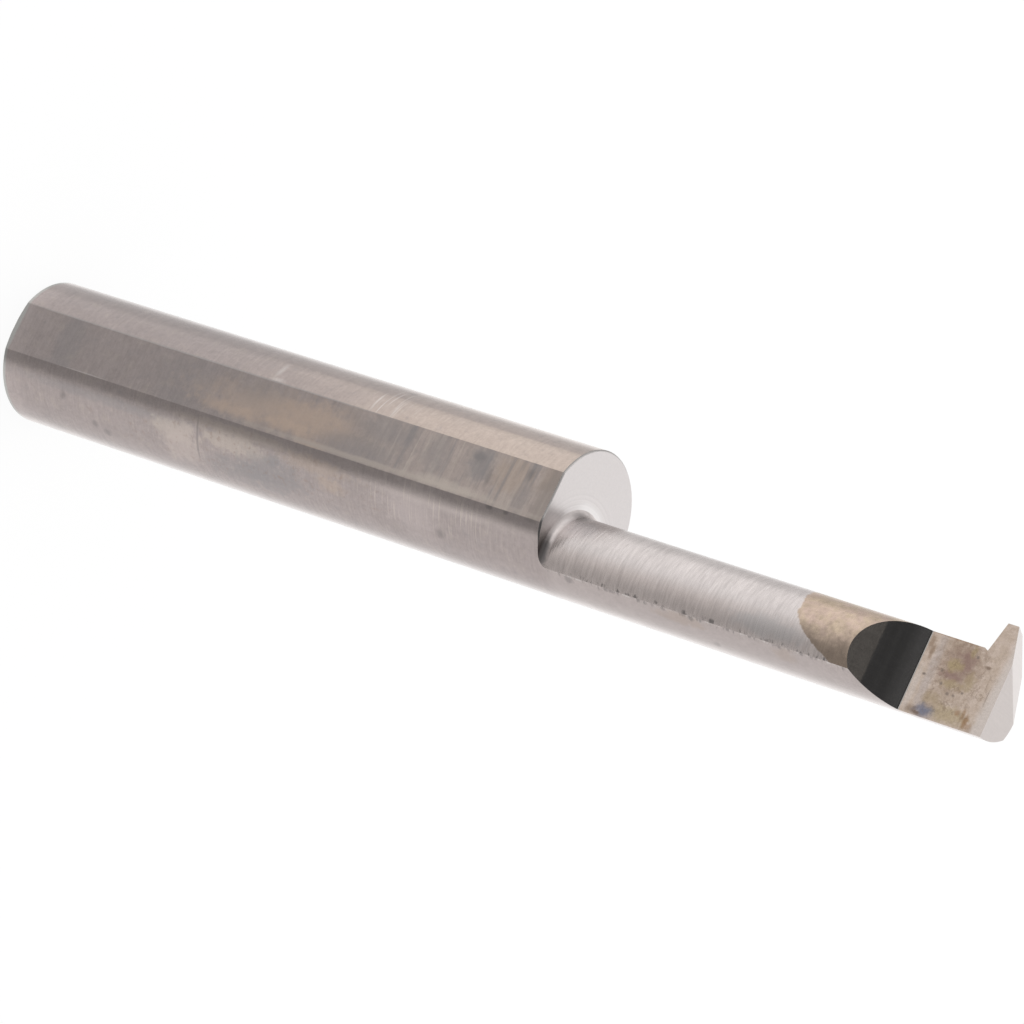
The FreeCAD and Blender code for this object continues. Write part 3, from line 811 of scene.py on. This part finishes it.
@dataclass
class ThreadingBar:
    """The whole tool, which is one piece."""

    neck_radius: float = 2.4875 * MM
    neck_offset: float = NECK_AXIS_MM * MM
    root_radius: float = 0.4 * MM
    shoulder: float = SHOULDER_MM * MM
    notch_start: float = 61.72 * MM
    rear_chamfer: float = 0.24 * MM
    rear_kept: float = 0.5
    rim_start: float = 0.97
    rim_end: float = 2.55 * MM
    rim_taper: float = 0.8 * MM
    slack: float = 0.03 * MM
    weld: float = 1e-7
    wall_lean: float = 0.1
    facing: float = 0.9
    level: float = 0.99
    slope: tuple[float, float] = (0.05, 0.95)
    fineness: int = 2
    crease_deg: float = 9.0
    shank_radius: float = field(init=False)
    flat_side: float = field(init=False)

    def __post_init__(self) -> None:
        """Read the radius and the flat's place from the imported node."""
        low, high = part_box(NODE)
        self.shank_radius = high.x
        self.flat_side = low.y

    def surface_of(self, centre: Vector, normal: Vector) -> Surface:
        """Tell which ground surface a face of the bar belongs to."""
        from_bar = Vector((centre.x, centre.y, 0.0))
        from_neck = Vector((centre.x - self.neck_offset, centre.y, 0.0))
        is_wall = abs(normal.z) < self.wall_lean
        if is_wall and abs(from_bar.length - self.shank_radius) < self.slack:
            return Surface.STOCK
        on_neck = abs(from_neck.length - self.neck_radius) < self.slack
        if is_wall and on_neck and normal.dot(from_neck.normalized()) > self.facing:
            return Surface.NECK
        if normal.y < -self.level:
            return Surface.FLAT if centre.z < self.shoulder else Surface.RAKE
        if centre.z < self.shoulder / 2:
            return Surface.REAR
        is_level = normal.z >= self.level
        in_root = from_neck.length < self.neck_radius + self.root_radius and not is_level
        if in_root and centre.z < self.shoulder + self.root_radius:
            return Surface.NECK
        if centre.z <= self.shoulder + self.slack:
            outer = max(from_bar.length / self.shank_radius, centre.y / self.flat_side)
            return Surface.RIM if outer > self.rim_start and not is_level else Surface.SHOULDER
        if normal.y < -0.2 and self.slope[0] < normal.z < self.slope[1]:
            return Surface.GULLET
        if normal.z > self.facing:
            return Surface.FRONT
        return Surface.CLEARANCE

    def marked_copy(self, node: bpy.types.Object) -> bpy.types.Object:
        """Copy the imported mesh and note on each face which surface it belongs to."""
        mesh = node.data.copy()
        mesh.materials.clear()
        mesh.attributes.remove(mesh.attributes["custom_normal"])
        marks = mesh.attributes.new(MARK, "INT", "FACE")
        for face in mesh.polygons:
            marks.data[face.index].value = self.surface_of(face.center, face.normal).value
        copy = bpy.data.objects.new("marked_bar", mesh)
        bpy.context.scene.collection.objects.link(copy)
        return copy

    def refining_tree(self, dress: dict[Surface, bpy.types.Material]) -> bpy.types.NodeTree:
        """Make the tree that joins, divides and snaps the mesh and lays its finishes on.

        Args:
            dress: The material of each surface.

        Returns:
            The geometry tree.
        """
        tree = bpy.data.node_groups.new("refined_bar", "GeometryNodeTree")
        tree.is_modifier = True
        tree.interface.new_socket("Geometry", in_out="INPUT", socket_type="NodeSocketGeometry")
        tree.interface.new_socket("Geometry", in_out="OUTPUT", socket_type="NodeSocketGeometry")
        tree.interface.new_socket("Fineness", in_out="INPUT", socket_type="NodeSocketInt")
        for name in self.sizes():
            tree.interface.new_socket(name, in_out="INPUT", socket_type="NodeSocketFloat")
        graph = Graph(tree)
        given = graph.node("NodeGroupInput")
        shank, neck, offset, root, shoulder = (graph.term(given, name) for name in self.sizes())
        inputs = {"Geometry": given.outputs["Geometry"], "Distance": self.weld}
        merged = graph.node("GeometryNodeMergeByDistance", None, inputs)
        inputs = {"Mesh": merged.outputs[0], "Level": given.outputs["Fineness"]}
        divided = graph.node("GeometryNodeSubdivideMesh", None, inputs)
        x, y, z = graph.parts(graph.node("GeometryNodeInputPosition").outputs[0])
        mark = graph.node("GeometryNodeInputNamedAttribute", {"data_type": "INT"}, {"Name": MARK})

        def is_on(surface: Surface) -> Term:
            """Tell whether a face belongs to a surface."""
            same = graph.node(
                "FunctionNodeCompare",
                {"data_type": "INT", "operation": "EQUAL"},
                {"A_INT": mark.outputs[0], "B_INT": surface.value},
            )
            return graph.term(same)

        def touches(surface: Surface) -> Term:
            """Tell whether a point has a face of this surface beside it."""
            settings = {"domain": "FACE", "data_type": "FLOAT"}
            share = graph.node("GeometryNodeFieldOnDomain", settings, {0: is_on(surface)})
            return graph.math("GREATER_THAN", graph.term(share), 0.0)

        def snap(mesh: bpy.types.NodeSocket, chosen: Term, goal: Term) -> bpy.types.NodeSocket:
            """Move the chosen points to their goal."""
            inputs = {"Geometry": mesh, "Selection": chosen, "Position": goal}
            return graph.node("GeometryNodeSetPosition", None, inputs).outputs[0]

        radius = graph.math("SQRT", x * x + y * y)
        to_shank = shank / radius
        across = x - offset
        from_neck = graph.math("SQRT", across * across + y * y)
        to_neck = neck / from_neck
        root_side, root_height = neck + root, shoulder + root
        aside, above = from_neck - root_side, z - root_height
        to_root = root / graph.math("SQRT", aside * aside + above * above)
        spread = (root_side + aside * to_root) / from_neck
        in_root = graph.math("LESS_THAN", z, root_height)
        in_root = in_root * graph.math("LESS_THAN", from_neck, root_side + self.slack)
        below_notch = graph.math("LESS_THAN", z, self.notch_start)
        at_rear = graph.math("LESS_THAN", z, self.rear_chamfer + self.slack)
        chamfer_start = shank - self.rear_chamfer - self.slack
        at_rear = at_rear * graph.math("GREATER_THAN", radius, chamfer_start)
        result = snap(
            divided.outputs[0], touches(Surface.STOCK), graph.vector(x * to_shank, y * to_shank, z)
        )
        # The rear chamfer keeps its width and part of its depth.
        shallow = graph.vector(x, y, z * self.rear_kept)
        result = snap(result, touches(Surface.REAR) * at_rear, shallow)
        # The shoulder's broken rim fades out where the root runs into the round.
        tapered = graph.ramp(x, self.rim_end, self.rim_end - self.rim_taper)
        spread_rim = (shank - (shank - radius) * tapered) / radius
        result = snap(
            result,
            touches(Surface.RIM),
            graph.vector(x * spread_rim, y * spread_rim, shoulder - (shoulder - z) * tapered),
        )
        result = snap(
            result,
            touches(Surface.NECK) * below_notch * (1.0 - in_root),
            graph.vector(offset + across * to_neck, y * to_neck, z),
        )
        result = snap(
            result,
            touches(Surface.NECK) * in_root,
            graph.vector(offset + across * spread, y * spread, root_height + above * to_root),
        )
        smooth = graph.node("GeometryNodeSetShadeSmooth", {"domain": "FACE"}, {"Geometry": result})
        inputs = {"Geometry": smooth.outputs[0]}
        result = graph.node("GeometryNodeRealizeInstances", None, inputs).outputs[0]
        for surface, material in dress.items():
            inputs = {"Geometry": result, "Selection": is_on(surface), "Material": material}
            result = graph.node("GeometryNodeSetMaterial", None, inputs).outputs[0]
        tree.links.new(result, graph.node("NodeGroupOutput").inputs[0])
        return tree

    def part_finishes(self, mesh: bpy.types.Mesh) -> None:
        """Keep the shading apart at each crease and wherever two finishes meet."""
        mesh.set_sharp_from_angle(angle=math.radians(self.crease_deg))
        beside: dict[int, set[int]] = {}
        for face in mesh.polygons:
            for loop in face.loop_indices:
                beside.setdefault(mesh.loops[loop].edge_index, set()).add(face.material_index)
        for edge, finishes in beside.items():
            if len(finishes) > 1:
                mesh.edges[edge].use_edge_sharp = True

    def sizes(self) -> dict[str, float]:
        """Give the sizes that the tree takes, by the names of its inputs."""
        return {
            "Shank Radius": self.shank_radius,
            "Neck Radius": self.neck_radius,
            "Neck Offset": self.neck_offset,
            "Root Radius": self.root_radius,
            "Shoulder": self.shoulder,
        }

    def build(self) -> bpy.types.Object:
        """Build the visible bar, dressed, in place of its node."""
        dress = {surface: FINISHES[surface].build() for surface in Surface}
        source = self.marked_copy(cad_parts[NODE])
        tree = self.refining_tree(dress)
        modifier = source.modifiers.new("refine", "NODES")
        modifier.node_group = tree
        values = {"Fineness": self.fineness, **self.sizes()}
        for socket in tree.interface.items_tree:
            if socket.in_out == "INPUT" and socket.name in values:
                modifier[socket.identifier] = values[socket.name]
        depsgraph = bpy.context.evaluated_depsgraph_get()
        mesh = bpy.data.meshes.new_from_object(source.evaluated_get(depsgraph), depsgraph=depsgraph)
        bpy.data.objects.remove(source)
        mesh.attributes.remove(mesh.attributes[MARK])
        self.part_finishes(mesh)
        bar = bpy.data.objects.new("ground_bar", mesh)
        bpy.context.scene.collection.objects.link(bar)
        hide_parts(NODE)
        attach(bar, "root")
        return bar


@dataclass
class Studio:
    """Floor, surroundings, lamp and camera."""

    floor_half: float = 1.5
    floor_drop: float = 0.02 * MM
    floor_white: Colour = (0.95, 0.95, 0.95)
    self_lit: float = 0.9
    opening: Place = (-0.087, -0.492, 0.866)
    opening_depth: float = 0.935
    key: Place = (-0.62, -0.52, 0.50)
    key_gain: float = 0.28
    ceiling_loss: float = 0.25
    lamp_place: Place = (-0.25, 0.45, 0.6)
    lamp_aim: Place = (0.0, 0.0, 0.03)
    lamp_side: float = 0.5
    lamp_watts: float = 1.2
    camera_place: Place = (0.04958, -0.21795, 0.18737)
    camera_right: Place = (-0.42048027, 0.45997095, 0.78206334)
    camera_up: Place = (-0.8891624, -0.38040485, -0.25432731)
    lens_mm: float = 184.92
    sensor_mm: float = 36.0
    clip: tuple[float, float] = (0.01, 10.0)

    @staticmethod
    def towards(
        graph: Graph, parts: tuple[Term, Term, Term], aim: Place, outer: float, inner: float
    ) -> Term:
        """Tell whether a direction lies near an aim.

        Args:
            graph: The graph that gets the nodes.
            parts: The direction's three values.
            aim: The direction that is compared with.
            outer: Angle in degrees from which the result is 0.
            inner: Angle in degrees within which it is 1.

        Returns:
            The value, between 0 and 1.
        """
        unit = Vector(aim).normalized()
        cosine = parts[0] * unit.x + parts[1] * unit.y + parts[2] * unit.z
        return graph.ramp(cosine, math.cos(math.radians(outer)), math.cos(math.radians(inner)))

    def surroundings(self, graph: Graph, direction: object) -> Term:
        """Give the brightness of the studio in a direction.

        It is white all round. High on the side of the camera it has a dark opening, and below
        that a darker table whose end fades to one side. One screen and the ceiling are greyer,
        the backdrop glows, and a key light stands on the tooth's side.

        Args:
            graph: The graph that gets the nodes.
            direction: The direction that is looked in.

        Returns:
            The brightness, 1 for white.
        """
        parts = graph.parts(direction)
        x, y, z = parts
        turn = graph.math("ARCTAN2", -x, -y) * math.degrees(1.0)
        table = graph.ramp(turn, -56.0, -44.0) * graph.ramp(turn, 56.0, -30.0)
        table = table * (0.55 + 0.3 * graph.ramp(z, -0.5, -0.1)) * graph.ramp(z, 0.45, 0.1)
        opening = self.towards(graph, parts, self.opening, 30.0, 20.0) * self.opening_depth
        dark = 0.22 + 0.4 * graph.ramp(z, -0.1, 0.15) * graph.ramp(z, 0.52, 0.4)
        screen = graph.ramp(turn, 95.0, 99.0) * graph.ramp(turn, 144.0, 127.0) * dark
        behind = graph.ramp(turn, 128.0, 156.0) + graph.ramp(turn, -142.0, -172.0)
        glow = behind * (0.05 + 0.33 * graph.ramp(z, 0.3, -0.45))
        key = self.towards(graph, parts, self.key, 30.0, 14.0) * graph.ramp(z, 0.68, 0.58)
        key = key * self.key_gain
        ceiling = graph.ramp(z, 0.62, 0.76) * self.ceiling_loss
        return (1.0 + glow + key - screen - ceiling) * (1.0 - table) * (1.0 - opening)

    def build_world(self) -> None:
        """Make the surroundings: plain white, and the studio where metal mirrors it."""
        world = bpy.data.worlds.new("studio")
        bpy.context.scene.world = world
        world.use_nodes = True
        graph = Graph(world.node_tree)
        graph.tree.nodes.clear()
        direction = graph.node("ShaderNodeTexCoord").outputs["Generated"]
        mirrored = graph.term(graph.node("ShaderNodeLightPath"), "Is Glossy Ray")
        strength = 1.0 - mirrored * (1.0 - self.surroundings(graph, direction))
        inputs = {"Color": (1.0, 1.0, 1.0), "Strength": strength}
        shader = graph.node("ShaderNodeBackground", None, inputs)
        output = graph.node("ShaderNodeOutputWorld")
        graph.tree.links.new(shader.outputs[0], output.inputs["Surface"])

    def floor_finish(self) -> bpy.types.Material:
        """Make the floor's finish: white to the camera, with the bar's shadow kept."""
        material = bpy.data.materials.new("pale_floor")
        material.use_nodes = True
        graph = Graph(material.node_tree)
        graph.tree.nodes.clear()
        path = graph.node("ShaderNodeLightPath")
        to_camera, through = (
            graph.term(path, ray) for ray in ("Is Camera Ray", "Is Transmission Ray")
        )
        seen = graph.math("MAXIMUM", to_camera, through)
        own = graph.node("ShaderNodeEmission", None, {"Color": (1.0, 1.0, 1.0), "Strength": 1.0})
        matt = graph.node("ShaderNodeBsdfDiffuse", None, {"Color": self.floor_white})
        inputs = {0: seen * self.self_lit, 1: matt.outputs[0], 2: own.outputs[0]}
        mix = graph.node("ShaderNodeMixShader", None, inputs)
        output = graph.node("ShaderNodeOutputMaterial")
        graph.tree.links.new(mix.outputs[0], output.inputs["Surface"])
        material.cycles.emission_sampling = "NONE"
        return material

    def build_floor(self) -> None:
        """Lay the floor under the bar."""
        half, height = self.floor_half, -self.floor_drop
        signs = ((-1, -1), (1, -1), (1, 1), (-1, 1))
        corners = [(x * half, y * half, height) for x, y in signs]
        mesh = bpy.data.meshes.new("floor")
        mesh.from_pydata(corners, [], [(0, 1, 2, 3)])
        mesh.materials.append(self.floor_finish())
        floor = bpy.data.objects.new("floor", mesh)
        floor.visible_glossy = False
        bpy.context.scene.collection.objects.link(floor)

    def build_lamp(self) -> None:
        """Hang one large soft lamp behind and above the bar."""
        data = bpy.data.lights.new("soft_box", "AREA")
        data.shape = "SQUARE"
        data.size = self.lamp_side
        data.energy = self.lamp_watts
        lamp = bpy.data.objects.new("soft_box", data)
        lamp.visible_glossy = False
        lamp.location = self.lamp_place
        lamp.rotation_mode = "QUATERNION"
        aim = Vector(self.lamp_aim) - lamp.location
        lamp.rotation_quaternion = aim.to_track_quat("-Z", "Y")
        bpy.context.scene.collection.objects.link(lamp)

    def build_camera(self) -> None:
        """Set the camera to the photograph's point of view."""
        data = bpy.data.cameras.new("camera")
        data.lens = self.lens_mm
        data.sensor_width = self.sensor_mm
        data.clip_start, data.clip_end = self.clip
        camera = bpy.data.objects.new("camera", data)
        right, up = Vector(self.camera_right).normalized(), Vector(self.camera_up).normalized()
        turn = Matrix((right, up, right.cross(up))).transposed().to_4x4()
        camera.matrix_world = Matrix.Translation(self.camera_place) @ turn
        bpy.context.scene.collection.objects.link(camera)
        bpy.context.scene.camera = camera

    def build(self) -> None:
        """Build everything round the bar."""
        self.build_world()
        self.build_floor()
        self.build_lamp()
        self.build_camera()
        bpy.context.scene.view_settings.view_transform = "Standard"


def main() -> None:
    """Build the bar and its studio."""
    logging.basicConfig(level=logging.INFO)
    bar = ThreadingBar().build()
    log.info("%s: %d faces, %d finishes", bar.name, len(bar.data.polygons), len(bar.data.materials))
    Studio().build()


if __name__ == "__main__":
    main()
